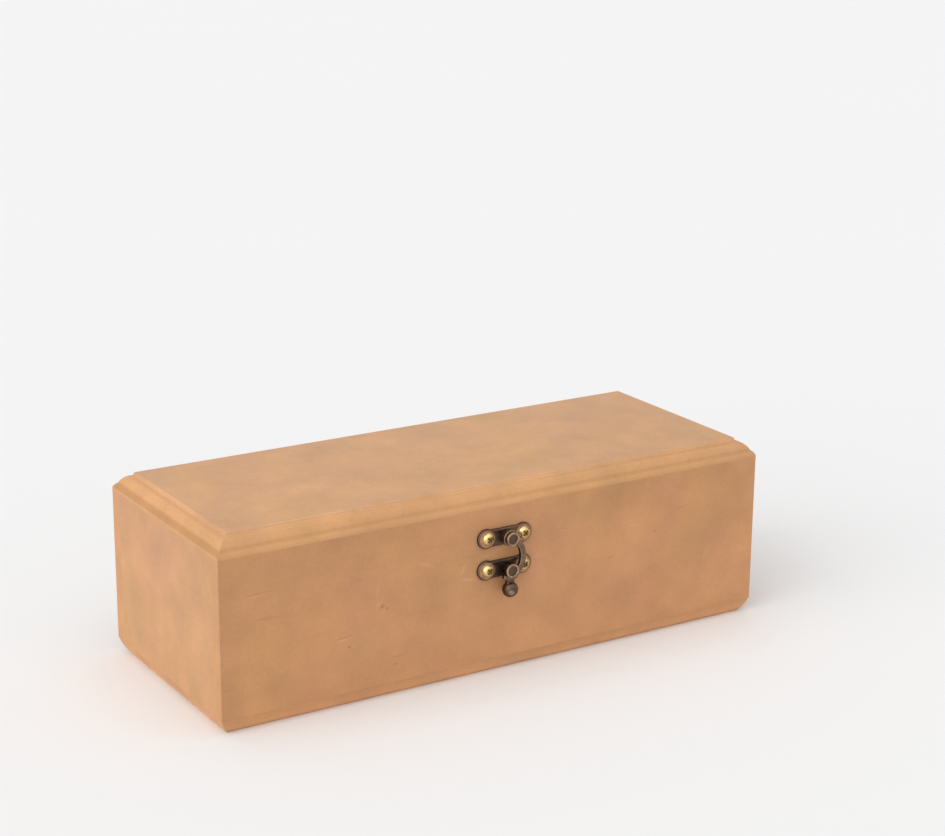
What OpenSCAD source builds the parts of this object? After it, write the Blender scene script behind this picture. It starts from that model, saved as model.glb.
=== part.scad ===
// Brush box with a hinged lid: plain fibreboard box, moulded lid, swing latch and two butt hinges.
// Millimetres, +Z up, X along the length, the latch faces -Y.

/* [Box] */
// Length of the box, outside
box_l = 240; // [180:1:340]
// Depth of the box, front to back, outside
box_d = 93.5; // [80:0.5:150]
// Height of the box without its lid, base board included
box_h = 49.2; // [40:0.1:90]
// Thickness of the walls of box and lid
wall_t = 6; // [4.5:0.1:9]
// Thickness of the base board
base_t = 6; // [5:0.1:10]

/* [Lid] */
// Height of the lid, top board included
lid_h = 25.1; // [22:0.1:45]
// Thickness of the lid's top board
top_t = 7.5; // [7.2:0.1:12]
// Open line between box and closed lid
seam_gap = 0.2; // [0.1:0.05:0.5]

/* [Moulded edge of the lid] */
// Inset of the flat panel from the lid's sides
mould_in = 6.4; // [5:0.1:10]
// Height of the moulding
mould_h = 7; // [6:0.1:7.1]
// Step down from the flat panel
mould_step = 1.2; // [0.6:0.1:2]
// Width of the rounded nose at the outside
nose_in = 1.75; // [1:0.05:2.5]
// Height of the rounded nose
nose_h = 2.2; // [1.4:0.1:3]
// Swell of the bead over its chord
bead_swell = 0.75; // [0.4:0.05:1]
// Swell of the nose over its chord
nose_swell = 0.28; // [0.1:0.02:0.4]

/* [Edge of the base board] */
// Inset of the base board's underside
foot_in = 3.4; // [1:0.1:5]
// Inset of the base board at its top, under the walls
foot_lip = 0.2; // [0:0.05:0.6]
// Swell of the base board's edge over its chord
foot_swell = 0.4; // [0.1:0.05:0.8]

/* [Latch] */
// Latch centre, right of the box's middle
latch_x = -0.8; // [-30:0.1:30]
// Centre of each plate from the middle of the seam
plate_off = 6.3; // [5.2:0.1:8]
// Spacing of the two screws of a plate
plate_pitch = 15.9; // [14:0.1:24]
// Height of the latch's middle over the middle of the seam
latch_up = -0.35; // [-1:0.05:1]
// Radius of a plate's lobes
lobe_r = 3.9; // [3.4:0.1:4.6]
// How far a lobe's centre lies outside its screw
lobe_out = 0.2; // [0:0.1:2]
// How far the plates lie left of the middle of their screws
plate_shift = 0.4; // [0:0.1:0.6]
// Height of a plate between its lobes
waist_h = 6.8; // [5.6:0.1:7]
// Thickness of the plates
plate_t = 1.2; // [0.8:0.1:1.6]
// Bevel round the plates
plate_bevel = 0.4; // [0.2:0.05:0.6]

/* [Hook] */
// Radius of the eye
eye_r = 3.3; // [3:0.1:4]
// Width of the hook's bar
bar_w = 2.3; // [2:0.1:2.8]
// Thickness of the hook
hook_t = 1.8; // [1.2:0.1:2.4]
// Space between plate and hook
hook_lift = 1.8; // [1.6:0.1:2.6]
// Swell of the hook to the right of its rivet
hook_swell = 5.65; // [5.4:0.05:6.6]
// Radius of the claw that holds the post
hold_r = 4.4; // [4.2:0.1:4.8]
// How far the claw rises beside the post, over the post's middle
claw_up = 1; // [0.4:0.1:1.6]
// How far the claw reaches to the left of the post's middle
claw_reach = 3; // [2.6:0.1:3.4]
// Width of the neck between claw and knob
neck_w = 3.2; // [2.4:0.1:4]
// Distance of the knob below the post
knob_drop = 7.9; // [7.6:0.1:9]
// Radius of the knob
knob_r = 3.1; // [2.6:0.1:3.3]
// Height of the knob's centre over the hook's middle
knob_rise = 0.3; // [0:0.1:0.6]
// Clearance round the post in the hook
post_clear = 0.3; // [0.2:0.05:0.5]

/* [Rivet and post] */
// Radius of the rivet and of the post's neck
stud_r = 1.7; // [1.2:0.1:1.9]
// Radius of their heads
stud_head_r = 2.85; // [2.4:0.05:3.1]
// Thickness of their heads
stud_head_h = 1.2; // [0.8:0.1:1.6]
// Depth of the dish in their heads
stud_dish = 0.5; // [0.2:0.05:0.7]
// Width of the rim round the dish
stud_rim = 0.8; // [0.5:0.05:1.1]
// Space under a head
head_clear = 0.3; // [0.15:0.05:0.5]
// Running clearance of the hook on its rivet, on the radius
rivet_fit = 0.06; // [0.03:0.01:0.1]
// Clearance between the hook and the boss that carries it
boss_clear = 0.1; // [0.05:0.05:0.3]
// Radius of the boss under the hook's eye
boss_r = 2.6; // [2.2:0.1:3]

/* [Latch screws] */
// Radius of a screw's head
screw_head_r = 2.4; // [2.1:0.05:2.6]
// Height of a screw's head
screw_head_h = 1.6; // [1.3:0.1:1.8]
// Radius of a screw's shank
screw_r = 0.9; // [0.6:0.05:1.2]
// Width of the arms of the cross recess
cross_w = 0.7; // [0.4:0.05:0.9]
// Length of the cross recess
cross_l = 2.6; // [1.6:0.1:3]
// Depth of the cross recess
cross_h = 0.9; // [0.6:0.05:1.1]
// Wood left behind a screw's point
screw_skin = 1.2; // [0.8:0.1:2]
// Clearance of a screw in its hole, on the radius
screw_fit = 0.04; // [0.02:0.01:0.1]

/* [Hinges] */
// Hinge centre from the nearer end of the box
hinge_end = 45; // [25:1:70]
// Length of a hinge
hinge_l = 20; // [18:0.5:34]
// Width of a leaf from the pin's axis
leaf_w = 9; // [8:0.1:13]
// Thickness of a leaf
leaf_t = 0.8; // [0.6:0.05:1.2]
// Radius of the knuckles
knuckle_r = 1.5; // [1.3:0.05:1.9]
// Radius of the pin
pin_r = 0.7; // [0.5:0.05:0.9]
// Length of the middle knuckle
knuckle_l = 7; // [5:0.1:12]
// Play between knuckles
knuckle_gap = 0.2; // [0.1:0.05:0.4]
// Running clearance of the lid's knuckle on the pin, on the radius
pin_fit = 0.05; // [0.02:0.01:0.1]
// Clearance of the knuckles from the back of the box
knuckle_clear = 0.25; // [0.15:0.05:0.6]
// Distance of a leaf's screws from the hinge's ends
leaf_end = 4; // [3:0.1:6]
// Distance of a leaf's screws from its outer edge
leaf_edge = 3; // [2.4:0.1:4]
// Radius of a hinge screw's head
csk_r = 1.55; // [1.2:0.05:1.8]
// Radius of a hinge screw's shank
csk_shank_r = 0.75; // [0.5:0.05:1]
// Depth of the slot in a hinge screw
slot_h = 0.3; // [0.2:0.05:0.4]
// Width of the slot in a hinge screw
slot_w = 0.45; // [0.3:0.05:0.6]

/* [Hidden] */
$fn = 64;

// The hook lies in front of the plates, its knob is the foremost point
hook_low = plate_t + hook_lift;
hook_mid = hook_low + hook_t / 2;
head_low = hook_low + hook_t + head_clear;
stud_top = head_low + stud_head_h;
knob_mid = hook_mid + knob_rise;
front_out = max(knob_mid + knob_r, stud_top);
// The hinge axis lies behind the back
axis_out = knuckle_r + knuckle_clear;
back_out = axis_out + knuckle_r;

hinge_x = box_l / 2 - hinge_end;
y_front = (front_out - box_d - back_out) / 2;
y_back = y_front + box_d;
z_lid = box_h + seam_gap;
z_axis = box_h + seam_gap / 2;
z_top = z_lid + lid_h;
z_panel = z_top - top_t;
z_hook = z_axis + latch_up + plate_off;
z_catch = z_axis + latch_up - plate_off;

// Hook in its own plane: rivet at [0, 0], post straight below it
post_d = 2 * plate_off;
knob_d = post_d + knob_drop;
bar_d = post_d + hold_r - bar_w / 2;
bar_r = (bar_d * bar_d / 4 + hook_swell * hook_swell) / (2 * hook_swell);
slot_r = stud_r + post_clear;

wood = [0.80, 0.62, 0.45];
wood_pale = [0.84, 0.66, 0.48];
bronze = [0.30, 0.22, 0.16];
brass = [0.82, 0.68, 0.38];

// Points from p to q along a circle that swells by s to the left of the way from p to q
function arc_pts(p, q, s, n) =
    let (d = q - p, c = norm(d), r = (c * c / 4 + s * s) / (2 * s),
         left = [-d[1], d[0]] / c, o = (p + q) / 2 + left * (s - r), h = asin(c / 2 / r))
    [for (i = [0 : n]) let (a = -h + 2 * h * i / n) o + left * r * cos(a) + d / c * r * sin(a)];

// Edge of the top board, [inset, height over the board's underside], from below to the panel
mould_pts = concat([[0, 0]],
    arc_pts([0, top_t - mould_h], [nose_in, top_t - mould_h + nose_h], nose_swell, 8),
    arc_pts([nose_in, top_t - mould_h + nose_h], [mould_in, top_t - mould_step], bead_swell, 14),
    [[mould_in, top_t]]);
// Edge of the base board, from its underside up
foot_pts = arc_pts([foot_in, 0], [foot_lip, base_t], foot_swell, 12);

// A board of w by d whose four edges follow pts
module edged_board(w, d, pts) {
    n = len(pts);
    across = function (v) concat([for (i = [0 : n - 1]) [-v / 2 + pts[i][0], pts[i][1]]],
        [for (i = [n - 1 : -1 : 0]) [v / 2 - pts[i][0], pts[i][1]]]);
    intersection() {
        rotate([90, 0, 0])
            linear_extrude(height = d + 2, center = true) polygon(across(w));
        rotate([90, 0, 90])
            linear_extrude(height = w + 2, center = true) polygon(across(d));
    }
}

// Places on the front, local +Z outward and +Y up
module on_front(x, z) {
    translate([x, y_front, z]) rotate([90, 0, 0]) children();
}

// Places on the back, local +Z outward and +Y up
module on_back(x, z) {
    translate([x, y_back, z]) rotate([90, 0, 180]) children();
}

module at_plate_screws(z) {
    for (s = [-1, 1]) on_front(latch_x + s * plate_pitch / 2, z) children();
}

// up = 1 for the lid's leaves, -1 for the box's
module at_leaf_screws(x, up) {
    for (s = [-1, 1])
        on_back(x + s * (hinge_l / 2 - leaf_end), z_axis + up * (leaf_w - leaf_edge)) children();
}

// Round-head screw, its head seated on the plate
module latch_screw() {
    ball_r = (screw_head_r * screw_head_r + screw_head_h * screw_head_h) / (2 * screw_head_h);
    difference() {
        union() {
            intersection() {
                translate([0, 0, plate_t]) cylinder(h = screw_head_h + 1, r = screw_head_r);
                translate([0, 0, plate_t + screw_head_h - ball_r]) sphere(r = ball_r);
            }
            translate([0, 0, 1.5 - (wall_t - screw_skin)])
                cylinder(h = wall_t - screw_skin - 1.5 + plate_t, r = screw_r);
            translate([0, 0, -(wall_t - screw_skin)])
                cylinder(h = 1.5, r1 = 0.15, r2 = screw_r);
        }
        for (a = [45, 135])
            rotate([0, 0, a])
                translate([-cross_l / 2, -cross_w / 2, plate_t + screw_head_h - cross_h])
                    cube([cross_l, cross_w, cross_h + 1]);
    }
}

module latch_screw_hole() {
    translate([0, 0, -(wall_t - screw_skin) - 0.2])
        cylinder(h = wall_t, r = screw_r + screw_fit);
}

// Countersunk screw, its head flush with the leaf
module hinge_screw() {
    difference() {
        union() {
            cylinder(h = leaf_t, r1 = csk_r - leaf_t, r2 = csk_r);
            translate([0, 0, 1.2 - (wall_t - screw_skin)])
                cylinder(h = wall_t - screw_skin - 1.2 + leaf_t / 2, r = csk_shank_r);
            translate([0, 0, -(wall_t - screw_skin)])
                cylinder(h = 1.2, r1 = 0.15, r2 = csk_shank_r);
        }
        translate([-csk_r - 1, -slot_w / 2, leaf_t - slot_h])
            cube([2 * csk_r + 2, slot_w, slot_h + 1]);
    }
}

module hinge_screw_hole() {
    translate([0, 0, -(wall_t - screw_skin) - 0.2])
        cylinder(h = wall_t, r = csk_shank_r + screw_fit);
}

// Plate with two lobes and a waist, bevelled at its face
module latch_plate() {
    half = waist_h / 2;
    flat = plate_t - plate_bevel;
    translate([-plate_shift, 0, 0]) {
        for (s = [-1, 1]) translate([s * (plate_pitch / 2 + lobe_out), 0, 0]) {
            cylinder(h = flat, r = lobe_r);
            translate([0, 0, flat])
                cylinder(h = plate_bevel, r1 = lobe_r, r2 = lobe_r - plate_bevel);
        }
        translate([-plate_pitch / 2 - lobe_out, 0, 0]) rotate([90, 0, 90])
            linear_extrude(height = plate_pitch + 2 * lobe_out)
                polygon([[-half, 0], [half, 0], [half, flat], [half - plate_bevel, plate_t],
                    [plate_bevel - half, plate_t], [-half, flat]]);
    }
}

// Rivet or post: a neck with a dished head
module stud() {
    difference() {
        union() {
            cylinder(h = head_low + 0.01, r = stud_r);
            translate([0, 0, head_low]) cylinder(h = stud_head_h - 0.3, r = stud_head_r);
            translate([0, 0, stud_top - 0.3])
                cylinder(h = 0.3, r1 = stud_head_r, r2 = stud_head_r - 0.3);
        }
        translate([0, 0, stud_top - stud_dish])
            cylinder(h = stud_dish + 0.01, r1 = stud_head_r - stud_rim - 0.2, r2 = stud_head_r - stud_rim);
    }
}

// Outline of the hook: eye, bar, claw under the post and neck
module hook_outline() {
    circle(r = eye_r);
    intersection() {
        translate([hook_swell - bar_r, -bar_d / 2]) difference() {
            circle(r = bar_r + bar_w / 2);
            circle(r = bar_r - bar_w / 2);
        }
        translate([0, -bar_d]) square([bar_d, bar_d]);
    }
    difference() {
        translate([0, -post_d]) circle(r = hold_r);
        translate([0, -post_d]) circle(r = slot_r);
        translate([-knob_d, claw_up - post_d]) square([2 * knob_d, knob_d]);
        translate([-knob_d - claw_reach, -2 * knob_d]) square([knob_d, 2 * knob_d]);
        intersection() {
            circle(r = post_d + slot_r);
            translate([-2 * knob_d, -2 * knob_d]) square([2 * knob_d, 4 * knob_d]);
        }
    }
    translate([-neck_w / 2, -knob_d]) square([neck_w, knob_drop - hold_r + 1]);
}

// One leaf of a hinge at [0, 0] on its axis, local +Z outward, lying towards +Y
module leaf(middle) {
    free = knuckle_r + knuckle_gap;
    half = knuckle_l / 2;
    spans = middle ? [[-half, knuckle_l]]
        : [[-hinge_l / 2, hinge_l / 2 - half - knuckle_gap],
           [half + knuckle_gap, hinge_l / 2 - half - knuckle_gap]];
    difference() {
        union() {
            translate([-hinge_l / 2, free, 0]) cube([hinge_l, leaf_w - free, leaf_t]);
            for (s = spans) {
                translate([s[0], 0, 0]) cube([s[1], free + 0.5, leaf_t]);
                translate([s[0], 0, axis_out]) rotate([0, 90, 0]) cylinder(h = s[1], r = knuckle_r);
            }
        }
        translate([-hinge_l, 0, axis_out]) rotate([0, 90, 0])
            cylinder(h = 2 * hinge_l, r = pin_r + (middle ? pin_fit : screw_fit));
        for (s = [-1, 1]) translate([s * (hinge_l / 2 - leaf_end), leaf_w - leaf_edge, 0]) {
            translate([0, 0, -1]) cylinder(h = leaf_t + 2, r = csk_shank_r + screw_fit);
            cylinder(h = leaf_t, r1 = csk_r - leaf_t + screw_fit, r2 = csk_r + screw_fit);
            translate([0, 0, leaf_t]) cylinder(h = 1, r = csk_r + screw_fit);
        }
    }
}

module lid_leaf(x) {
    on_back(x, z_axis) leaf(true);
}

module box_leaf(x) {
    on_back(x, z_axis) mirror([0, 1, 0]) leaf(false);
}

module base_board() {
    color(wood) translate([0, y_front + box_d / 2, 0]) edged_board(box_l, box_d, foot_pts);
}

module front_board() {
    color(wood) difference() {
        translate([-box_l / 2, y_front, base_t]) cube([box_l, wall_t, box_h - base_t]);
        at_plate_screws(z_catch) latch_screw_hole();
    }
}

module back_board() {
    color(wood) difference() {
        translate([-box_l / 2, y_back - wall_t, base_t]) cube([box_l, wall_t, box_h - base_t]);
        for (x = [-hinge_x, hinge_x]) at_leaf_screws(x, -1) hinge_screw_hole();
    }
}

module left_end_board() {
    color(wood_pale) translate([-box_l / 2, y_front + wall_t, base_t])
        cube([wall_t, box_d - 2 * wall_t, box_h - base_t]);
}

module right_end_board() {
    color(wood_pale) translate([box_l / 2 - wall_t, y_front + wall_t, base_t])
        cube([wall_t, box_d - 2 * wall_t, box_h - base_t]);
}

module lid_top_board() {
    color(wood_pale) translate([0, y_front + box_d / 2, z_panel])
        edged_board(box_l, box_d, mould_pts);
}

module lid_front_rail() {
    color(wood) difference() {
        translate([-box_l / 2, y_front, z_lid]) cube([box_l, wall_t, z_panel - z_lid]);
        at_plate_screws(z_hook) latch_screw_hole();
    }
}

module lid_back_rail() {
    color(wood) difference() {
        translate([-box_l / 2, y_back - wall_t, z_lid]) cube([box_l, wall_t, z_panel - z_lid]);
        for (x = [-hinge_x, hinge_x]) at_leaf_screws(x, 1) hinge_screw_hole();
    }
}

module lid_left_rail() {
    color(wood_pale) translate([-box_l / 2, y_front + wall_t, z_lid])
        cube([wall_t, box_d - 2 * wall_t, z_panel - z_lid]);
}

module lid_right_rail() {
    color(wood_pale) translate([box_l / 2 - wall_t, y_front + wall_t, z_lid])
        cube([wall_t, box_d - 2 * wall_t, z_panel - z_lid]);
}

module catch_plate() {
    color(bronze) on_front(latch_x, z_catch) difference() {
        latch_plate();
        for (s = [-1, 1]) translate([s * plate_pitch / 2, 0, -1])
            cylinder(h = plate_t + 2, r = screw_r + screw_fit);
        translate([0, 0, -1]) cylinder(h = plate_t + 2, r = stud_r + screw_fit);
    }
}

module catch_post() {
    color(bronze) on_front(latch_x, z_catch) stud();
}

module catch_plate_screws() {
    color(brass) at_plate_screws(z_catch) latch_screw();
}

module hook_plate() {
    color(bronze) on_front(latch_x, z_hook) difference() {
        union() {
            latch_plate();
            cylinder(h = hook_low - boss_clear, r = boss_r);
        }
        for (s = [-1, 1]) translate([s * plate_pitch / 2, 0, -1])
            cylinder(h = plate_t + 2, r = screw_r + screw_fit);
        translate([0, 0, -1]) cylinder(h = hook_low + 2, r = stud_r + screw_fit);
    }
}

module hook_rivet() {
    color(bronze) on_front(latch_x, z_hook) stud();
}

module hook_plate_screws() {
    color(brass) at_plate_screws(z_hook) latch_screw();
}

module swing_hook() {
    color(bronze) on_front(latch_x, z_hook) difference() {
        union() {
            translate([0, 0, hook_low]) linear_extrude(height = hook_t) hook_outline();
            translate([0, -knob_d, knob_mid]) sphere(r = knob_r);
        }
        translate([0, 0, hook_low - 1]) cylinder(h = hook_t + 2, r = stud_r + rivet_fit);
    }
}

module left_hinge_box_leaf() {
    color(bronze) box_leaf(-hinge_x);
}

module right_hinge_box_leaf() {
    color(bronze) box_leaf(hinge_x);
}

module left_hinge_lid_leaf() {
    color(bronze) lid_leaf(-hinge_x);
}

module right_hinge_lid_leaf() {
    color(bronze) lid_leaf(hinge_x);
}

module hinge_pins() {
    color(bronze) for (x = [-hinge_x, hinge_x])
        translate([x - hinge_l / 2, y_back + axis_out, z_axis])
            rotate([0, 90, 0]) cylinder(h = hinge_l, r = pin_r);
}

module hinge_box_screws() {
    color(brass) for (x = [-hinge_x, hinge_x]) at_leaf_screws(x, -1) hinge_screw();
}

module hinge_lid_screws() {
    color(brass) for (x = [-hinge_x, hinge_x]) at_leaf_screws(x, 1) hinge_screw();
}

base_board();
front_board();
back_board();
left_end_board();
right_end_board();
lid_top_board();
lid_front_rail();
lid_back_rail();
lid_left_rail();
lid_right_rail();
catch_plate();
catch_post();
catch_plate_screws();
hook_plate();
hook_rivet();
hook_plate_screws();
swing_hook();
left_hinge_box_leaf();
right_hinge_box_leaf();
left_hinge_lid_leaf();
right_hinge_lid_leaf();
hinge_pins();
hinge_box_screws();
hinge_lid_screws();
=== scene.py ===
import math

import bmesh
import bpy
from bpy.props import FloatProperty, FloatVectorProperty, PointerProperty
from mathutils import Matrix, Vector


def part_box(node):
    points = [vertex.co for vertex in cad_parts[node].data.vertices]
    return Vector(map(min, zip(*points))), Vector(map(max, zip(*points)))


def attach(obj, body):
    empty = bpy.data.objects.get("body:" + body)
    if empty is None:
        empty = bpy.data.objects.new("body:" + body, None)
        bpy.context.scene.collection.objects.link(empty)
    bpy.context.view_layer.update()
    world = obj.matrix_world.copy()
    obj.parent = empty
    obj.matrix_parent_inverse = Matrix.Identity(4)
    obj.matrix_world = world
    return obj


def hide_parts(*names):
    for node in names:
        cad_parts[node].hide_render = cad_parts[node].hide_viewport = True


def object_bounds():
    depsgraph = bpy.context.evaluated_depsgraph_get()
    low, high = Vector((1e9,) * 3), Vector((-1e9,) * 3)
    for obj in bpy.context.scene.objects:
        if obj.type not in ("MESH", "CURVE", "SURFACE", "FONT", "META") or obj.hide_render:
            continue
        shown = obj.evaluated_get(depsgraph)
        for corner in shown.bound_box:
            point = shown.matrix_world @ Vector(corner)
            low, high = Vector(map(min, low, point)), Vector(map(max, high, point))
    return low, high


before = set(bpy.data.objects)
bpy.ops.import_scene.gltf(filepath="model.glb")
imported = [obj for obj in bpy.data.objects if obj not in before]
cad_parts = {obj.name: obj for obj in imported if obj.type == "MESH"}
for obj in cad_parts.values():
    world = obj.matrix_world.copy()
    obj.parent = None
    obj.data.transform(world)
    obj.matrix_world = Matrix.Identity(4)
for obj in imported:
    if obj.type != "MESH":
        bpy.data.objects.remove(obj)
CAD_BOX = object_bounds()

bl_info = {
    "name": "Brush box",
    "version": (1, 0, 0),
    "blender": (4, 5, 0),
    "location": "View3D > Sidebar > Brush box",
    "description": "Bare fibreboard brush box with a moulded hinged lid and a swing-hook latch",
    "category": "Object",
}

# The box: half its length, its front and back faces, the middle between them, and its top
HALF_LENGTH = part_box("front_board")[1].x
BODY_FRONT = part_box("front_board")[0].y
BODY_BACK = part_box("back_board")[1].y
BODY_MIDDLE = (BODY_FRONT + BODY_BACK) / 2
HALF_DEPTH = BODY_MIDDLE - BODY_FRONT
TOP = CAD_BOX[1].z

# A wall, the lid's rail that was sawn from the same board, the board's own stretch of the wood
# pattern, and the property that holds its face colour
SIDES = (
    ("front_board", "lid_front_rail", (0.0, 0.0, 0.0), "front"),
    ("back_board", "lid_back_rail", (0.11, 0.03, 0.0), "front"),
    ("left_end_board", "lid_left_rail", (0.31, 0.0, 0.0), "end"),
    ("right_end_board", "lid_right_rail", (0.53, 0.0, 0.0), "end"),
)
MARKED_NODES = ("front_board", "lid_front_rail")

# Marks on the front: X and Z of the middle, length, width and tilt, in millimetres and degrees
STAINS = (
    (-97.0, 56.0, 30.0, 13.0, 0.0), (-66.0, 22.0, 26.0, 12.0, 20.0),
    (-30.0, 36.0, 22.0, 9.0, -15.0), (8.0, 24.0, 30.0, 12.0, 10.0),
    (38.0, 58.0, 34.0, 9.0, 0.0), (92.0, 40.0, 20.0, 26.0, 0.0),
)
DARK_MARKS = (
    (-104.0, 52.0, 11.0, 0.7, 4.0), (-101.5, 42.0, 10.0, 1.6, -3.0), (-70.0, 28.0, 9.0, 0.7, 6.0),
    (-47.0, 16.0, 10.0, 0.7, 2.0), (26.0, 53.0, 4.0, 0.6, -12.0), (49.0, 37.0, 5.0, 0.6, 8.0),
    (60.0, 20.0, 9.0, 0.8, -8.0), (84.0, 52.0, 7.0, 0.7, 12.0),
)
NICKS = (
    (-54.0, 37.0, 2.2, 1.4, 40.0), (-52.0, 35.8, 1.5, 0.9, 10.0), (-68.0, 24.0, 1.3, 0.9, 0.0),
    (-48.5, 13.0, 1.4, 0.8, 0.0), (-118.0, 17.5, 2.4, 0.8, 0.0), (70.0, 44.0, 1.1, 0.7, 0.0),
)
PALE_MARKS = (
    (-104.0, 51.2, 10.0, 0.7, 4.0), (-70.0, 27.3, 8.0, 0.6, 6.0), (-19.0, 45.0, 7.0, 1.6, 62.0),
    (-17.5, 40.5, 6.0, 1.4, -8.0), (26.5, 52.2, 3.5, 0.8, -12.0), (-55.5, 38.2, 3.0, 0.9, 40.0),
    (-56.0, 44.0, 5.0, 1.2, 75.0), (-36.0, 50.0, 8.0, 1.8, -20.0), (96.0, 30.0, 10.0, 2.2, 70.0),
)
# Each kind of mark with its strength and colour, in the order in which they are laid
MARKS = (
    (STAINS, 0.30, (0.50, 0.275, 0.120)),
    (DARK_MARKS, 0.45, (0.43, 0.19, 0.08)),
    (NICKS, 0.75, (0.30, 0.125, 0.05)),
    (PALE_MARKS, 0.30, (0.74, 0.42, 0.23)),
)
# How far into the board a mark goes, in metres
MARK_DEPTH = 0.002

# Colours in the wood: the first three tint what is under them, and the rest cover it
OLIVE_PATCH = (0.95, 0.98, 0.925)
PINK_PATCH = (1.0, 0.982, 1.06)
HANDLED = (0.95, 0.955, 0.96)
SANDED_EDGE = (0.71, 0.40, 0.205)
PALE_FIBRE = (0.72, 0.44, 0.25)
DARK_FIBRE = (0.36, 0.17, 0.075)
# Colour of the painted shade deep in the screws' recesses
RECESS_SHADE = (0.18, 0.108, 0.032)

# Heights between which handling comes to dull the boards
HANDLED_FROM, HANDLED_TO = 0.040, 0.066
# The moulding's height, and bands of painted shade on it over its foot: where each starts, is
# full, starts to fall and ends
MOULDING = 0.0071
NOSE_SHADE_RISE = (0.0001, 0.0009, 0.0019, 0.0030)
NOSE_SHADE_LINE = (0.0013, 0.0021, 0.0023, 0.0032)
# The same for the painted light on the step's riser around the panel, from the box's top
RISER_LIGHT_BAND = (-0.00125, -0.0009, -0.00035, -0.00005)

# Corners closer than this are one, and a corner this near a line lies on it
SAME_CORNER, ON_LINE = 1e-6, 2e-6
# A face whose outward normal is at least this much along Y lies flat to the front or back
FRONT_ON = 0.97

# The cast hook: the height over its lowest point at which the painted shadow on the neck starts,
# how far that takes, the height at which the knob ends, how far the painted highlight at the eye's
# left edge goes, and where the knob's painted highlight faces
NECK_TOP, NECK_FADE, KNOB_TOP = 0.0078, 0.0015, 0.0046
EYE_HIGHLIGHT_REACH = 0.005
KNOB_HIGHLIGHT_WAY = Vector((-0.36, -0.92, -0.12)).normalized()

# Stage: the background as the camera sees it, the camera, and the broad lamps with the property
# that holds their strength, how wide they are and which way they are turned, in degrees
BACKGROUND = (0.913, 0.913, 0.913)
CAMERA_PLACE = (-0.415476, -0.684066, 0.326706)
CAMERA_TURN = (73.51761, -0.46452, -31.88426)
LAMPS = (
    ("key_light", "key", 60.0, (65.0, 0.0, -78.0)),
    ("fill_light", "fill", 80.0, (14.0, 0.0, -40.0)),
)
FLOOR_REACH = 12.0


class BrushBoxWood(bpy.types.PropertyGroup):
    """Colour and edges of the fibreboard."""

    front: FloatVectorProperty(
        name="Front and back", description="Colour of the long boards' faces",
        subtype="COLOR", size=3, min=0, max=1, default=(0.590, 0.289, 0.127))
    end: FloatVectorProperty(
        name="Ends", description="Colour of the short boards' faces",
        subtype="COLOR", size=3, min=0, max=1, default=(0.585, 0.308, 0.146))
    top: FloatVectorProperty(
        name="Lid panel", description="Colour of the lid's flat panel",
        subtype="COLOR", size=3, min=0, max=1, default=(0.582, 0.322, 0.162))
    cut_edge: FloatVectorProperty(
        name="Cut edges", description="Colour of the routed and sawn edges",
        subtype="COLOR", size=3, min=0, max=1, default=(0.620, 0.325, 0.142))
    # Cut-edge colour with painted bounce light from the floor
    bounce_lit_base_edge: FloatVectorProperty(
        name="Base edge", description="Colour of the base board's rounded edge",
        subtype="COLOR", size=3, min=0, max=1, default=(0.800, 0.430, 0.205))
    # Colour of the painted light on the riser of the step around the lid's panel
    riser_light: FloatVectorProperty(
        name="Panel arris", description="Colour of the rubbed step along the lid's panel",
        subtype="COLOR", size=3, min=0, max=1, default=(0.700, 0.395, 0.200))
    # Colour of the painted shade on the moulding's nose
    nose_shade: FloatVectorProperty(
        name="Router burn", description="Colour of the darker line that the router leaves",
        subtype="COLOR", size=3, min=0, max=1, default=(0.500, 0.245, 0.098))
    panel_round: FloatProperty(
        name="Panel rounding", description="Rounding of the step around the lid's panel",
        unit="LENGTH", min=0.0001, max=0.0006, default=0.0005, precision=5)
    edge_ease: FloatProperty(
        name="Edge easing", description="How far sanding has taken the outer edges off",
        unit="LENGTH", min=0.00005, max=0.001, default=0.00018, precision=5)
    seam_ease: FloatProperty(
        name="Seam easing", description="Easing of the edges where lid and box meet",
        unit="LENGTH", min=0.00001, max=0.0005, default=0.00002, precision=5)
    seam_sink: FloatProperty(
        name="Lid sink", description="How far the lid's rails come down into the open seam",
        unit="LENGTH", min=0.0, max=0.0002, default=0.00019, precision=5)


class BrushBoxMetal(bpy.types.PropertyGroup):
    """Colours and edges of the latch, hinges and screws."""

    bronze: FloatVectorProperty(
        name="Bronze", description="Colour of the darkened bronze",
        subtype="COLOR", size=3, min=0, max=1, default=(0.085, 0.050, 0.034))
    # Also the colour of the painted highlights on the hook
    worn_and_lit: FloatVectorProperty(
        name="Worn bronze", description="Colour of the bronze where it is rubbed bright",
        subtype="COLOR", size=3, min=0, max=1, default=(0.45, 0.30, 0.19))
    # Colour of the painted light on the plates' lobes around the screws
    lobe_light: FloatVectorProperty(
        name="Bare lobes", description="Colour of the plates where the screws have rubbed them",
        subtype="COLOR", size=3, min=0, max=1, default=(0.480, 0.270, 0.135))
    brass: FloatVectorProperty(
        name="Brass", description="Colour of the screws",
        subtype="COLOR", size=3, min=0, max=1, default=(0.84, 0.60, 0.28))
    # Colour of the painted shade in the middle of each screw
    middle_shade: FloatVectorProperty(
        name="Screw middles", description="Colour of the dull brass around the screws' recesses",
        subtype="COLOR", size=3, min=0, max=1, default=(0.34, 0.235, 0.060))
    edge_round: FloatProperty(
        name="Edge rounding", description="Rounding of the metal edges",
        unit="LENGTH", min=0.00002, max=0.0004, default=0.00024, precision=5)
    cast_grain: FloatProperty(
        name="Hook mesh size", description="Mesh size at which the cast hook is rounded off",
        unit="LENGTH", min=0.00008, max=0.0004, default=0.00014, precision=5)


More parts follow.
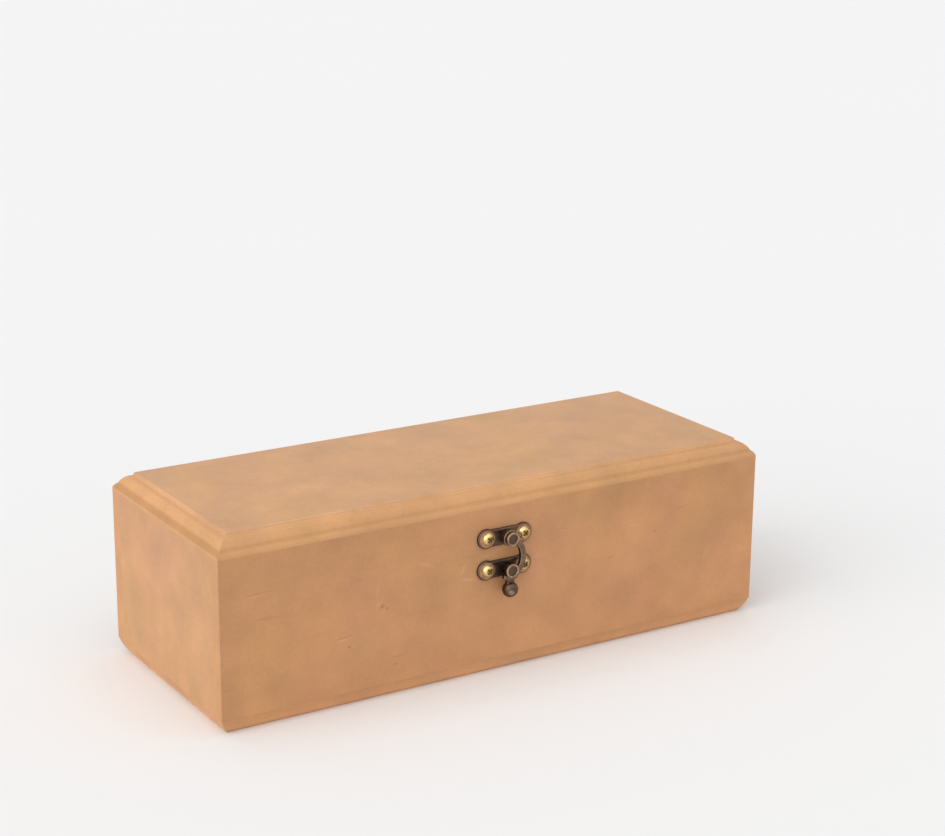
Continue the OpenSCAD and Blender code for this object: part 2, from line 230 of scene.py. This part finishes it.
class BrushBoxStage(bpy.types.PropertyGroup):
    """Floor, light and camera."""

    floor: FloatVectorProperty(
        name="Floor colour", description="Colour of the floor",
        subtype="COLOR", size=3, min=0, max=1, default=(0.87, 0.87, 0.87))
    sky: FloatProperty(
        name="Soft light", description="Strength of the light from all around",
        min=0.0, max=2.0, default=0.60)
    key: FloatProperty(
        name="Key light", description="Strength of the broad light from the left",
        min=0.0, max=10.0, default=1.35)
    fill: FloatProperty(
        name="Fill light", description="Strength of the broad light from above and in front",
        min=0.0, max=10.0, default=0.85)
    lens: FloatProperty(
        name="Lens", description="Focal length of the camera on a 36 mm sensor, in millimetres",
        min=20.0, max=200.0, default=81.35)


class BrushBoxSettings(bpy.types.PropertyGroup):
    """Everything that a user would change."""

    wood: PointerProperty(type=BrushBoxWood)
    metal: PointerProperty(type=BrushBoxMetal)
    stage: PointerProperty(type=BrushBoxStage)


# Materials


class Graph:
    """A material in the making. Most methods add a node and return what comes out of it."""

    def __init__(self, name):
        self.material = bpy.data.materials.get(name) or bpy.data.materials.new(name)
        self.material.use_nodes = True
        self.tree = self.material.node_tree
        self.tree.nodes.clear()
        out = self.add("ShaderNodeOutputMaterial")
        self.shader = self.add("ShaderNodeBsdfPrincipled")
        self.plug(self.shader.outputs["BSDF"], out.inputs["Surface"])
        self.place = self.add("ShaderNodeTexCoord").outputs["Object"]

    def add(self, kind, settings=None, **values):
        """A node with its settings and its inputs' numbers; _ in an input's name is a space."""
        made = self.tree.nodes.new(kind)
        for key, value in (settings or {}).items():
            setattr(made, key, value)
        for key, value in values.items():
            made.inputs[key.replace("_", " ")].default_value = value
        return made

    def plug(self, value, entry):
        """Links an output to an input, or sets the input to a number or a colour."""
        if isinstance(value, bpy.types.NodeSocket):
            self.tree.links.new(value, entry)
        elif isinstance(value, (int, float)):
            entry.default_value = value
        else:
            entry.default_value = (*value, 1.0)

    def mapping(self, kind="POINT", location=(0, 0, 0), rotation=(0, 0, 0), scale=(1, 1, 1)):
        made = self.add("ShaderNodeMapping", {"vector_type": kind},
                        Location=location, Rotation=rotation, Scale=scale)
        self.plug(self.place, made.inputs["Vector"])
        return made.outputs["Vector"]

    def noise(self, where, scale, detail=2.0, roughness=0.5, distortion=0.0):
        made = self.add("ShaderNodeTexNoise", Scale=scale, Detail=detail,
                        Roughness=roughness, Distortion=distortion)
        self.plug(where, made.inputs["Vector"])
        return made.outputs["Fac"]

    def attribute(self, name, output="Fac"):
        return self.add("ShaderNodeAttribute", {"attribute_name": name}).outputs[output]

    def reach(self, value, low, high, at_low=0.0, at_high=1.0, shape="SMOOTHSTEP"):
        """at_low at low and at_high at high, softly unless the shape is LINEAR."""
        made = self.add("ShaderNodeMapRange", {"interpolation_type": shape},
                        From_Min=low, From_Max=high, To_Min=at_low, To_Max=at_high)
        self.plug(value, made.inputs["Value"])
        return made.outputs[0]

    def band(self, value, start, full, fall, end):
        """1 from full to fall, and softly down to 0 at start and end."""
        return self.math("MULTIPLY", self.reach(value, start, full), self.reach(value, end, fall))

    def math(self, operation, a, b=None):
        made = self.add("ShaderNodeMath", {"operation": operation})
        self.plug(a, made.inputs[0])
        if b is not None:
            self.plug(b, made.inputs[1])
        return made.outputs[0]

    def length(self, vector):
        made = self.add("ShaderNodeVectorMath", {"operation": "LENGTH"})
        self.plug(vector, made.inputs[0])
        return made.outputs["Value"]

    def blend(self, mode, factor, a, b):
        """Colour b laid over colour a."""
        made = self.add("ShaderNodeMix", {"data_type": "RGBA", "blend_type": mode})
        for value, colour_input in ((factor, 0), (a, 6), (b, 7)):
            self.plug(value, made.inputs[colour_input])
        return made.outputs[2]

    def bump(self, height, strength, distance, under=None):
        made = self.add("ShaderNodeBump", Strength=strength, Distance=distance)
        self.plug(height, made.inputs["Height"])
        if under is not None:
            self.plug(under, made.inputs["Normal"])
        return made.outputs["Normal"]

    def finish(self, colour, roughness, normal=None, **same_all_over):
        """Completes the shader and returns the material."""
        self.plug(colour, self.shader.inputs["Base Color"])
        self.plug(roughness, self.shader.inputs["Roughness"])
        if normal is not None:
            self.plug(normal, self.shader.inputs["Normal"])
        for key, value in same_all_over.items():
            self.shader.inputs[key.replace("_", " ")].default_value = value
        return self.material


def position(g, axis):
    """Place along one axis, from the box's middle or, for Z, from its underside."""
    split = g.add("ShaderNodeSeparateXYZ")
    g.plug(g.place, split.inputs["Vector"])
    return split.outputs[axis]


def from_middle(g):
    """Distance from the middle along the box's length, and along its depth."""
    along = g.math("ABSOLUTE", position(g, "X"))
    away = g.math("ABSOLUTE", g.math("SUBTRACT", position(g, "Y"), BODY_MIDDLE))
    return along, away


def sawn_ends(g):
    """Where a long board shows its sawn ends, lightly."""
    strength = 0.4
    along, _ = from_middle(g)
    ends = g.reach(along, HALF_LENGTH - 0.0003, HALF_LENGTH - 0.0001)
    return g.math("MULTIPLY", ends, strength)


def routed_edge(g):
    """Where the lid's top board is routed, below the step around its flat panel."""
    return g.reach(position(g, "Z"), TOP - 0.0010, TOP - 0.0012)


def bounce_lit_edge(g):
    """Painted bounce light on the base board below its upper face, more so further down."""
    at_upper_face, gain = 0.18, 0.72
    upper_face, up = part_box("base_board")[1].z, position(g, "Z")
    lower = g.math("MULTIPLY", g.reach(up, upper_face - 0.0010, 0.0), gain)
    strength = g.math("ADD", at_upper_face, lower)
    return g.math("MULTIPLY", g.reach(up, upper_face - 0.00002, upper_face - 0.0003), strength)


def painted_nose_shade(g):
    """Painted shade on the moulding's nose where it rises at both ends of the lid, and a fainter
    line of it all round.
    """
    line_strength, mitre = 0.6, 0.0001
    up, (along, away) = position(g, "Z"), from_middle(g)
    foot = TOP - MOULDING
    rise = g.band(up, *(foot + height for height in NOSE_SHADE_RISE))
    line = g.band(up, *(foot + height for height in NOSE_SHADE_LINE))
    ends = g.reach(along, HALF_LENGTH - 0.0030, HALF_LENGTH - 0.0018)
    past_mitre = g.math("SUBTRACT", g.math("SUBTRACT", along, HALF_LENGTH),
                        g.math("SUBTRACT", away, HALF_DEPTH))
    ends = g.math("MULTIPLY", ends, g.reach(past_mitre, -mitre, mitre))
    return g.math("MAXIMUM", g.math("MULTIPLY", rise, ends),
                  g.math("MULTIPLY", line, line_strength))


def painted_riser_light(g):
    """Painted light on the riser of the step around the lid's panel, where it runs along the front
    and the back.
    """
    _, away = from_middle(g)
    long_sides = g.reach(away, HALF_DEPTH - 0.0068, HALF_DEPTH - 0.0064)
    step = g.band(position(g, "Z"), *(TOP + height for height in RISER_LIGHT_BAND))
    return g.math("MULTIPLY", long_sides, step)


def mark(g, x, z, length, width, tilt):
    """A soft stroke on the front of the box."""
    edge, core = 1.3, 0.3
    within = g.mapping("TEXTURE", location=(x / 1000, BODY_FRONT, z / 1000),
                       rotation=(0, math.radians(-tilt), 0),
                       scale=(length / 2000, MARK_DEPTH, width / 2000))
    return g.reach(g.length(within), edge, core)


def fibreboard(name, shift, face, cut_edges=None, cut_tone="cut_edge", moulded=False, marked=False):
    """Bare fibreboard: soft olive and pink patches, fine fibres and a matt, furry face."""
    wood = bpy.context.scene.brush_box.wood
    fibre_strength = 0.22
    g = Graph(name)
    where = g.mapping(location=shift)
    fibre_way = g.mapping(location=shift, rotation=(0.3, 0.5, 0.2), scale=(0.35, 1.0, 1.0))
    patches = g.noise(where, scale=24.0, detail=2.5, distortion=0.8)
    clouds = g.noise(where, scale=58.0, detail=4.0)
    grain = g.noise(where, scale=650.0, detail=5.0, roughness=0.65)
    fibres = g.noise(fibre_way, scale=1900.0, detail=3.0, roughness=0.6, distortion=1.2)

    tone = getattr(wood, face)
    if cut_edges:
        tone = g.blend("MIX", cut_edges(g), tone, getattr(wood, cut_tone))
    if moulded:
        # Painted shade on the moulding's nose
        tone = g.blend("MIX", painted_nose_shade(g), tone, wood.nose_shade)
        # Painted light on the step's riser along the front and the back
        tone = g.blend("MIX", painted_riser_light(g), tone, wood.riser_light)
    else:
        handled = g.reach(position(g, "Z"), HANDLED_FROM, HANDLED_TO)
        tone = g.blend("MULTIPLY", handled, tone, HANDLED)
    sanded = g.math("MULTIPLY", g.attribute("eased"), g.reach(clouds, 0.38, 0.6, 0.15, 0.55))
    tone = g.blend("MIX", sanded, tone, SANDED_EDGE)
    tone = g.blend("MULTIPLY", g.reach(patches, 0.50, 0.28), tone, OLIVE_PATCH)
    tone = g.blend("MULTIPLY", g.reach(patches, 0.51, 0.72), tone, PINK_PATCH)
    tone = g.blend("MULTIPLY", 1.0, tone, g.reach(clouds, 0.25, 0.75, 0.875, 1.12, "LINEAR"))
    tone = g.blend("MULTIPLY", 1.0, tone, g.reach(grain, 0.25, 0.75, 0.95, 1.05, "LINEAR"))
    for colour, start, full in ((PALE_FIBRE, 0.62, 0.74), (DARK_FIBRE, 0.36, 0.26)):
        shown = g.math("MULTIPLY", g.reach(fibres, start, full), fibre_strength)
        tone = g.blend("MIX", shown, tone, colour)
    for marks, strength, colour in MARKS if marked else ():
        whole = mark(g, *marks[0])
        for each in marks[1:]:
            whole = g.math("MAXIMUM", whole, mark(g, *each))
        ragged = g.math("MULTIPLY", whole, g.reach(clouds, 0.35, 0.6, 0.35, 1.0))
        tone = g.blend("MIX", g.math("MULTIPLY", ragged, strength), tone, colour)

    fur = g.bump(fibres, strength=0.35, distance=0.00006)
    waves = g.bump(clouds, strength=0.25, distance=0.0002, under=fur)
    return g.finish(tone, g.reach(clouds, 0.3, 0.7, 0.56, 0.68), waves, IOR=1.45)


def lobes(g, node):
    """The middles of a plate's two lobes, around their screws."""
    low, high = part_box(node)
    radius = (high.z - low.z) / 2
    along = g.math("ABSOLUTE", g.math("SUBTRACT", position(g, "X"), (low.x + high.x) / 2))
    aside = g.math("SUBTRACT", along, (high.x - low.x) / 2 - radius)
    up = g.math("SUBTRACT", position(g, "Z"), (low.z + high.z) / 2)
    squares = g.math("ADD", g.math("MULTIPLY", aside, aside), g.math("MULTIPLY", up, up))
    return g.reach(g.math("SQRT", squares), radius - 0.0003, radius - 0.0009)


def antique_bronze(name, rubbed, plate=None):
    """Darkened bronze, rubbed bright in patches and on raised edges, with painted light on a
    plate's lobes.
    """
    metal = bpy.context.scene.brush_box.metal
    g = Graph(name)
    where = g.mapping()
    cloud = g.noise(where, scale=420.0, detail=4.0, roughness=0.6, distortion=0.4)
    speck = g.noise(where, scale=2600.0, detail=3.0, roughness=0.6)
    patchy = g.math("MULTIPLY", g.reach(cloud, 0.36, 0.62), 0.5)
    # The marks on the faces carry wear, and on the hook also painted highlights and a painted
    # shadow
    amount = g.math("MULTIPLY", g.math("MULTIPLY", g.attribute("rub"), rubbed),
                    g.math("ADD", 0.5, patchy))
    tone = g.blend("MIX", amount, metal.bronze, metal.worn_and_lit)
    if plate:
        # Painted light on the plate's lobes
        lit_lobes = g.math("MULTIPLY", lobes(g, plate), g.reach(cloud, 0.34, 0.56, 0.45, 0.95))
        tone = g.blend("MIX", lit_lobes, tone, metal.lobe_light)
    tone = g.blend("MULTIPLY", 1.0, tone, g.reach(speck, 0.25, 0.75, 0.8, 1.2, "LINEAR"))
    pits = g.bump(speck, strength=0.25, distance=0.00004)
    return g.finish(tone, g.reach(cloud, 0.3, 0.7, 0.30, 0.46), pits, Metallic=0.9)


def bright_brass(name):
    """Yellow brass, faintly spotted, with painted shade in the middle of each screw and deeper
    painted shade in its rough recess.
    """
    metal = bpy.context.scene.brush_box.metal
    middle_shade_strength, recess_shade_strength, recess_roughness = 0.85, 0.6, 0.35
    g = Graph(name)
    cloud = g.noise(g.mapping(), scale=900.0, detail=4.0, roughness=0.6)
    recess = g.attribute("recess")
    middle = g.reach(g.length(g.attribute("axis_way", "Vector")), 0.00155, 0.00115)
    tone = g.blend("MULTIPLY", 1.0, metal.brass, g.reach(cloud, 0.3, 0.7, 0.86, 1.06, "LINEAR"))
    # Painted shade in the middle of each screw
    tone = g.blend("MIX", g.math("MULTIPLY", middle, middle_shade_strength), tone, metal.middle_shade)
    # Painted shade deep in the recesses
    tone = g.blend("MIX", g.math("MULTIPLY", recess, recess_shade_strength), tone, RECESS_SHADE)
    rough = g.math("ADD", g.reach(cloud, 0.3, 0.7, 0.36, 0.46),
                   g.math("MULTIPLY", recess, recess_roughness))
    spots = g.bump(cloud, strength=0.15, distance=0.00005)
    return g.finish(tone, rough, spots, Metallic=1.0)


# Shapes


def merged_copy(node):
    """A bmesh of a CAD node with its doubles merged and its flat faces joined."""
    flat = math.radians(0.6)
    made = bmesh.new()
    made.from_mesh(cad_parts[node].data)
    bmesh.ops.remove_doubles(made, verts=made.verts, dist=SAME_CORNER)
    bmesh.ops.dissolve_limit(made, angle_limit=flat, verts=made.verts,
                             edges=made.edges, use_dissolve_boundaries=False)
    return made


def round_off(made, edges, width, segments):
    """Bevels these edges and marks the new faces as eased."""
    layers = made.faces.layers.float
    eased = layers.get("eased") or layers.new("eased")
    done = bmesh.ops.bevel(made, geom=edges, offset=width, offset_type="OFFSET",
                           segments=segments, profile=0.5, affect="EDGES",
                           clamp_overlap=True, material=-1, loop_slide=True)
    for f in done["faces"]:
        f[eased] = 1.0


def sharp_edges(made, angle, keep=None):
    """Edges that stand out by more than the angle, and pass the test."""
    return [e for e in made.edges
            if len(e.link_faces) == 2 and e.calc_face_angle_signed(0.0) > math.radians(angle)
            and (keep is None or keep(e))]


def mark_rubbed(made, outward, flat=0.5):
    """Marks the faces that are rubbed bright: raised edges most, flat fronts less, no sides."""
    starts, grows_over = 0.25, 0.35
    made.normal_update()
    rub = made.faces.layers.float.new("rub")
    for f in made.faces:
        facing = f.normal.y * outward
        edge = min(1.0, max(0.0, (facing - starts) / grows_over))
        f[rub] = flat if facing > FRONT_ON else edge
    return rub


def mark_axes(made):
    """Writes at each corner of a screw how far it lies from that screw's own axis."""
    way = made.verts.layers.float_vector.new("axis_way")
    waiting = set(made.verts)
    while waiting:
        screw, border = set(), [waiting.pop()]
        while border:
            v = border.pop()
            screw.add(v)
            for e in v.link_edges:
                other = e.other_vert(v)
                if other in waiting:
                    waiting.remove(other)
                    border.append(other)
        xs, zs = [v.co.x for v in screw], [v.co.z for v in screw]
        x, z = (min(xs) + max(xs)) / 2, (min(zs) + max(zs)) / 2
        for v in screw:
            v[way] = (v.co.x - x, 0.0, v.co.z - z)


def finish_piece(made, name, material, body, node, sharp=32):
    """Turns a bmesh into the piece of this name that rides on a body and stands for a node."""
    old = bpy.data.objects.get(name)
    if old:
        bpy.data.objects.remove(old)
    mesh = bpy.data.meshes.new(name)
    made.to_mesh(mesh)
    made.free()
    if not mesh.polygons:
        raise RuntimeError(f"{name} came out empty")
    mesh.shade_smooth()
    mesh.set_sharp_from_angle(angle=math.radians(sharp))
    mesh.materials.append(material)
    piece = bpy.data.objects.new(name, mesh)
    bpy.context.scene.collection.objects.link(piece)
    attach(piece, body)
    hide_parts(node)


def eased_board(node, body, shift, face, seam, sink=0.0):
    """A board with sanded outer corners, its edges at the glue and the seam almost sharp."""
    wood = bpy.context.scene.brush_box.wood
    low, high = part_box(node)
    made = merged_copy(node)

    def at(value, edge, axis):
        return all(abs(v.co[axis] - value) < ON_LINE for v in edge.verts)

    def upright(edge, xs, ys):
        return any(at(x, edge, 0) for x in xs) and any(at(y, edge, 1) for y in ys)

    square = 60
    ends, faces = (-HALF_LENGTH, HALF_LENGTH), (BODY_FRONT, BODY_BACK)
    corners = sharp_edges(made, square, lambda e: upright(e, ends, faces))
    if corners:
        round_off(made, corners, wood.edge_ease, segments=3)
    glued = sharp_edges(made, square, lambda e: upright(e, (low.x, high.x), (low.y, high.y)))
    if glued:
        round_off(made, glued, wood.seam_ease * 2, segments=1)
    round_off(made, sharp_edges(made, square, lambda e: at(seam, e, 2)), wood.seam_ease, segments=1)
    # The edge at the seam and its easing come down together
    near_seam = wood.seam_ease * 1.5
    for v in made.verts:
        if abs(v.co.z - seam) < near_seam:
            v.co.z -= sink
    material = fibreboard("fibreboard_" + node, shift, face,
                          cut_edges=sawn_ends if face == "front" else None,
                          marked=node in MARKED_NODES)
    finish_piece(made, node + "_wood", material, body, node, sharp=12)


def bronze_piece(made, node, body, name, rubbed, plate=None):
    """Finishes a piece of the latch or a hinge in antique bronze."""
    material = antique_bronze(name, rubbed, plate)
    finish_piece(made, node + "_bronze", material, body, node)


def brass_screws(node, body, sunk):
    """A set of screws, the faces that pass the test marked as their recesses."""
    made = merged_copy(node)
    recess = made.faces.layers.float.new("recess")
    for f in made.faces:
        f[recess] = 1.0 if sunk(f) else 0.0
    mark_axes(made)
    finish_piece(made, node + "_brass", bright_brass("bright_brass"), body, node)


def cast(made, grain):
    """The same shape as one skin of small faces, with all its edges rounded off."""
    block = bpy.data.meshes.new("hook_block")
    made.to_mesh(block)
    made.free()
    carrier = bpy.data.objects.new("hook_block", block)
    bpy.context.scene.collection.objects.link(carrier)
    melt = carrier.modifiers.new("melt", "REMESH")
    melt.mode = "VOXEL"
    melt.voxel_size = grain
    ready = carrier.evaluated_get(bpy.context.evaluated_depsgraph_get())
    skin = bpy.data.meshes.new_from_object(ready)
    bpy.data.objects.remove(carrier)
    bpy.data.meshes.remove(block)
    made = bmesh.new()
    made.from_mesh(skin)
    bpy.data.meshes.remove(skin)
    for _ in range(5):
        bmesh.ops.smooth_vert(made, verts=made.verts, factor=0.5,
                              use_axis_x=True, use_axis_y=True, use_axis_z=True)
    bmesh.ops.recalc_face_normals(made, faces=made.faces)
    return made


def mark_hook_wear_and_light(made):
    """Rubbed faces, with a painted shadow on the neck that also dulls the knob, and painted
    highlights on the knob and at the eye.
    """
    highlight_start, highlight_grows_over, highlight_gain = 0.90, 0.10, 1.5
    shadow_and_dulling_depth, faces_front = 0.85, -0.4
    rub = mark_rubbed(made, -1.0)
    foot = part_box("swing_hook")[0].z
    eye = sum(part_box("hook_rivet"), Vector()) / 2
    for f in made.faces:
        at = f.calc_center_median()
        # Painted shadow on the neck, which also leaves the knob duller
        if at.z < foot + NECK_TOP:
            shadow_and_dulling = min(1.0, (foot + NECK_TOP - at.z) / NECK_FADE)
            highlight = 0.0
            # Painted highlight on the knob where it faces that way
            if at.z < foot + KNOB_TOP:
                highlight = max(0.0, (f.normal.dot(KNOB_HIGHLIGHT_WAY) - highlight_start) / highlight_grows_over)
            f[rub] = max(f[rub] * (1.0 - shadow_and_dulling_depth * shadow_and_dulling), min(1.0, highlight_gain * highlight))
        # Painted highlight on the eye's left edge
        elif at.x < eye.x and math.hypot(at.x - eye.x, at.z - eye.z) < EYE_HIGHLIGHT_REACH:
            if f.normal.y < faces_front:
                f[rub] = 1.0


class BRUSHBOX_OT_base_board(bpy.types.Operator):
    """Base board with a rounded, undercut edge"""

    bl_idname = "brushbox.base_board"
    bl_label = "Base board"

    def execute(self, context):
        made = merged_copy("base_board")
        width = context.scene.brush_box.wood.edge_ease
        round_off(made, sharp_edges(made, angle=30), width, segments=2)
        # The base board's edge gets painted bounce light from the floor
        material = fibreboard("fibreboard_base", (0.07, 0.2, 0.4), "front",
                              cut_edges=bounce_lit_edge, cut_tone="bounce_lit_base_edge")
        finish_piece(made, "base_board_wood", material, "box", "base_board",
                     sharp=20)
        return {"FINISHED"}


class BRUSHBOX_OT_box_walls(bpy.types.Operator):
    """The four walls of the box"""

    bl_idname = "brushbox.box_walls"
    bl_label = "Box walls"

    def execute(self, context):
        for wall, _, shift, face in SIDES:
            eased_board(wall, "box", shift, face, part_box(wall)[1].z)
        return {"FINISHED"}


class BRUSHBOX_OT_lid_rails(bpy.types.Operator):
    """The four rails of the lid, sawn from the same boards as the walls"""

    bl_idname = "brushbox.lid_rails"
    bl_label = "Lid rails"

    def execute(self, context):
        sink = context.scene.brush_box.wood.seam_sink
        for _, rail, shift, face in SIDES:
            eased_board(rail, "lid", shift, face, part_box(rail)[0].z, sink)
        return {"FINISHED"}


class BRUSHBOX_OT_lid_top(bpy.types.Operator):
    """Top board of the lid with its routed moulding"""

    bl_idname = "brushbox.lid_top"
    bl_label = "Lid top board"

    def execute(self, context):
        made = merged_copy("lid_top_board")
        panel, inner_corner = TOP - 0.0001, -0.5
        rims = sharp_edges(made, 40, lambda e: all(v.co.z > panel for v in e.verts))
        foot = min(v.co.z for e in rims for f in e.link_faces for v in f.verts)
        feet = [e for e in made.edges if all(abs(v.co.z - foot) < ON_LINE for v in e.verts)
                and e.calc_face_angle_signed(0.0) < inner_corner]
        round_off(made, rims + feet, context.scene.brush_box.wood.panel_round, segments=4)
        material = fibreboard("fibreboard_top", (0.0, 0.4, 0.9), "top",
                              cut_edges=routed_edge, moulded=True)
        finish_piece(made, "lid_top_wood", material, "lid", "lid_top_board",
                     sharp=20)
        return {"FINISHED"}


class BRUSHBOX_OT_latch_plates(bpy.types.Operator):
    """The two lobed plates of the latch"""

    bl_idname = "brushbox.latch_plates"
    bl_label = "Latch plates"

    def execute(self, context):
        # Both plates are as thick as the catch plate, which has no boss in front of it
        back_of_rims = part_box("catch_plate")[0].y + 0.0006
        for node, body in (("catch_plate", "box"), ("hook_plate", "lid")):
            made = merged_copy(node)
            rims = sharp_edges(made, 30, lambda e: all(v.co.y < back_of_rims for v in e.verts))
            round_off(made, rims, context.scene.brush_box.metal.edge_round, segments=2)
            mark_rubbed(made, -1.0)
            bronze_piece(made, node, body, "bronze_" + node, rubbed=0.22, plate=node)
        return {"FINISHED"}


class BRUSHBOX_OT_rivet_and_post(bpy.types.Operator):
    """The hook's rivet and the post that it catches, with dished heads"""

    bl_idname = "brushbox.rivet_and_post"
    bl_label = "Rivet and post"

    def execute(self, context):
        ring, dish = 0.9, 0.1
        width = context.scene.brush_box.metal.edge_round
        for node, body in (("hook_rivet", "lid"), ("catch_post", "box")):
            made = merged_copy(node)
            round_off(made, sharp_edges(made, angle=25), width, segments=3)
            rub = mark_rubbed(made, -1.0, flat=ring)
            behind_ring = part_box(node)[0].y + 0.0001
            for f in made.faces:
                if f.normal.y < -FRONT_ON and f.calc_center_median().y > behind_ring:
                    f[rub] = dish
            bronze_piece(made, node, body, "bronze_heads", rubbed=1.0)
        return {"FINISHED"}


class BRUSHBOX_OT_swing_hook(bpy.types.Operator):
    """The cast hook, its edges rounded off all over"""

    bl_idname = "brushbox.swing_hook"
    bl_label = "Swing hook"

    def execute(self, context):
        made = cast(merged_copy("swing_hook"), context.scene.brush_box.metal.cast_grain)
        # Wear, with a painted shadow and painted highlights on the hook
        mark_hook_wear_and_light(made)
        bronze_piece(made, "swing_hook", "hook", "bronze_hook", rubbed=0.8)
        return {"FINISHED"}


class BRUSHBOX_OT_latch_screws(bpy.types.Operator):
    """The four round-head screws of the latch"""

    bl_idname = "brushbox.latch_screws"
    bl_label = "Latch screws"

    def execute(self, context):
        for node, body in (("catch_plate_screws", "box"), ("hook_plate_screws", "lid")):
            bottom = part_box(node)[0].y + 0.00105

            def in_cross(f):
                wall_or_floor = f.normal.y > -0.2 or f.normal.y < -0.9999
                return wall_or_floor and f.calc_center_median().y < bottom

            brass_screws(node, body, in_cross)
        return {"FINISHED"}


class BRUSHBOX_OT_hinges(bpy.types.Operator):
    """Leaves and pins of the two butt hinges"""

    bl_idname = "brushbox.hinges"
    bl_label = "Hinges"

    def execute(self, context):
        width = context.scene.brush_box.metal.edge_round * 0.7
        leaves = [(f"{side}_hinge_{body}_leaf", body)
                  for side in ("left", "right") for body in ("box", "lid")]
        for node, body in leaves + [("hinge_pins", "box")]:
            made = merged_copy(node)
            round_off(made, sharp_edges(made, angle=40), width, segments=1)
            mark_rubbed(made, 1.0)
            bronze_piece(made, node, body, "bronze_hinges", rubbed=0.5)
        return {"FINISHED"}


class BRUSHBOX_OT_hinge_screws(bpy.types.Operator):
    """The eight countersunk screws of the hinges"""

    bl_idname = "brushbox.hinge_screws"
    bl_label = "Hinge screws"

    def execute(self, context):
        for node, body in (("hinge_box_screws", "box"), ("hinge_lid_screws", "lid")):
            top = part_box(node)[1].y
            brass_screws(node, body,
                         lambda f: top - 0.0004 < f.calc_center_median().y < top - 0.00005)
        return {"FINISHED"}


def pale_floor(colour):
    """A wide, matt floor."""
    made = bmesh.new()
    bmesh.ops.create_grid(made, x_segments=8, y_segments=8, size=FLOOR_REACH)
    mesh = bpy.data.meshes.new("floor")
    made.to_mesh(mesh)
    made.free()
    g = Graph("pale_floor")
    shade = g.reach(g.noise(g.mapping(), scale=1.5), 0.3, 0.7, 0.995, 1.0, "LINEAR")
    tone = g.blend("MULTIPLY", 1.0, colour, shade)
    mesh.materials.append(g.finish(tone, 0.9, Specular_IOR_Level=0.0))
    return bpy.data.objects.new("floor", mesh)


def studio(strength):
    """Light from all around, behind a pale background for the camera and for reflections."""
    world = bpy.data.worlds.new("studio")
    world.use_nodes = True
    nodes, links = world.node_tree.nodes, world.node_tree.links
    nodes.clear()
    shown = nodes.new("ShaderNodeBackground")
    shown.inputs["Color"].default_value = (*BACKGROUND, 1.0)
    soft = nodes.new("ShaderNodeBackground")
    soft.inputs["Color"].default_value = (1.0, 1.0, 1.0, 1.0)
    soft.inputs["Strength"].default_value = strength
    path = nodes.new("ShaderNodeLightPath")
    seen = path.outputs["Is Camera Ray"]
    for ray in ("Is Glossy Ray", "Is Transmission Ray"):
        either = nodes.new("ShaderNodeMath")
        either.operation = "MAXIMUM"
        links.new(seen, either.inputs[0])
        links.new(path.outputs[ray], either.inputs[1])
        seen = either.outputs[0]
    mix = nodes.new("ShaderNodeMixShader")
    out = nodes.new("ShaderNodeOutputWorld")
    for source, entry in zip((seen, soft.outputs[0], shown.outputs[0]), mix.inputs):
        links.new(source, entry)
    links.new(mix.outputs[0], out.inputs["Surface"])
    return world


class BRUSHBOX_OT_stage(bpy.types.Operator):
    """Floor, soft light and the camera"""

    bl_idname = "brushbox.stage"
    bl_label = "Stage"

    def execute(self, context):
        scene, stage = context.scene, context.scene.brush_box.stage
        scene.view_settings.view_transform = "Standard"
        floor = pale_floor(stage.floor)
        scene.collection.objects.link(floor)
        scene.world = studio(stage.sky)
        for name, strength, width, turn in LAMPS:
            lamp = bpy.data.lights.new(name, "SUN")
            lamp.energy = getattr(stage, strength)
            lamp.angle = math.radians(width)
            lit = bpy.data.objects.new(name, lamp)
            lit.rotation_euler = [math.radians(angle) for angle in turn]
            scene.collection.objects.link(lit)
        lens = bpy.data.cameras.new("photo_camera")
        lens.sensor_width = 36.0
        lens.lens = stage.lens
        lens.clip_start = 0.01
        lens.clip_end = 50.0
        camera = bpy.data.objects.new("photo_camera", lens)
        camera.location = CAMERA_PLACE
        camera.rotation_euler = [math.radians(angle) for angle in CAMERA_TURN]
        scene.collection.objects.link(camera)
        scene.camera = camera
        return {"FINISHED"}


OPERATORS = (
    BRUSHBOX_OT_base_board,
    BRUSHBOX_OT_box_walls,
    BRUSHBOX_OT_lid_rails,
    BRUSHBOX_OT_lid_top,
    BRUSHBOX_OT_latch_plates,
    BRUSHBOX_OT_rivet_and_post,
    BRUSHBOX_OT_swing_hook,
    BRUSHBOX_OT_latch_screws,
    BRUSHBOX_OT_hinges,
    BRUSHBOX_OT_hinge_screws,
    BRUSHBOX_OT_stage,
)


class BRUSHBOX_PT_panel(bpy.types.Panel):
    """The brush box in the sidebar"""

    bl_idname = "BRUSHBOX_PT_panel"
    bl_label = "Brush box"
    bl_space_type = "VIEW_3D"
    bl_region_type = "UI"
    bl_category = "Brush box"

    def draw(self, context):
        settings = context.scene.brush_box
        groups = (("Wood", settings.wood), ("Metal", settings.metal), ("Stage", settings.stage))
        for title, group in groups:
            part = self.layout.box()
            part.label(text=title)
            for name in group.__annotations__:
                part.prop(group, name)
        for operator in OPERATORS:
            self.layout.operator(operator.bl_idname)


CLASSES = (BrushBoxWood, BrushBoxMetal, BrushBoxStage, BrushBoxSettings,
           *OPERATORS, BRUSHBOX_PT_panel)


def register():
    for each in CLASSES:
        bpy.utils.register_class(each)
    bpy.types.Scene.brush_box = PointerProperty(type=BrushBoxSettings)


def unregister():
    del bpy.types.Scene.brush_box
    for each in reversed(CLASSES):
        bpy.utils.unregister_class(each)


def main():
    register()
    for operator in OPERATORS:
        group, name = operator.bl_idname.split(".")
        getattr(getattr(bpy.ops, group), name)()


if __name__ == "__main__":
    main()
